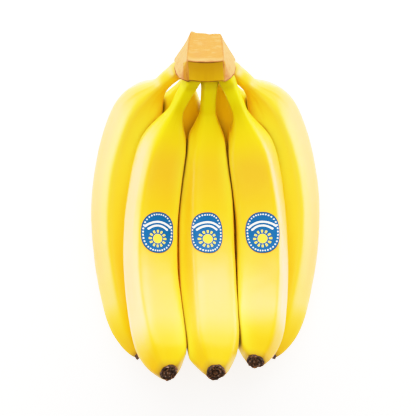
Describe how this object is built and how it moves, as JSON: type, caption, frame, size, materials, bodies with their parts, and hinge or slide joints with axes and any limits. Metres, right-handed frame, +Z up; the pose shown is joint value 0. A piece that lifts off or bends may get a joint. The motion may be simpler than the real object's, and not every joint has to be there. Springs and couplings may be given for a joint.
{
  "type": "bunch of bananas",
  "caption": "Bunch of ripe bananas joined by their cut crown, lying on their backs with the tips curving up; oval labels on the front fruits.",
  "frame": {"origin": "centre of the bounding box, on the surface that the bunch lies on", "axes": "+Z up from the surface, +Y towards the crown, +X to the right seen from above with the crown away from the viewer"},
  "size_m": [0.1662, 0.2332, 0.1151],
  "materials": {
    "peel": "waxy ripe banana peel, yellow with greener stalks",
    "crown_cut": "knife-cut crown, pale tan with browned edges and golden skin",
    "dried_scar": "dry dark flower scar, rough",
    "label": null
  },
  "bodies": {
    "root": {"crown": "crown_cut", "banana_front_left": "peel", "banana_front_center": "peel", "banana_front_right": "peel", "banana_outer_left": "peel", "banana_outer_right": "peel", "banana_back_left": "peel", "banana_back_right": "peel", "blossom_end_front_left": "dried_scar", "blossom_end_front_center": "dried_scar", "blossom_end_front_right": "dried_scar", "blossom_end_outer_left": "dried_scar", "blossom_end_outer_right": "dried_scar", "blossom_end_back_left": "dried_scar", "blossom_end_back_right": "dried_scar", "label_front_left": "label", "label_front_center": "label", "label_front_right": "label"}
  },
  "joints": []
}
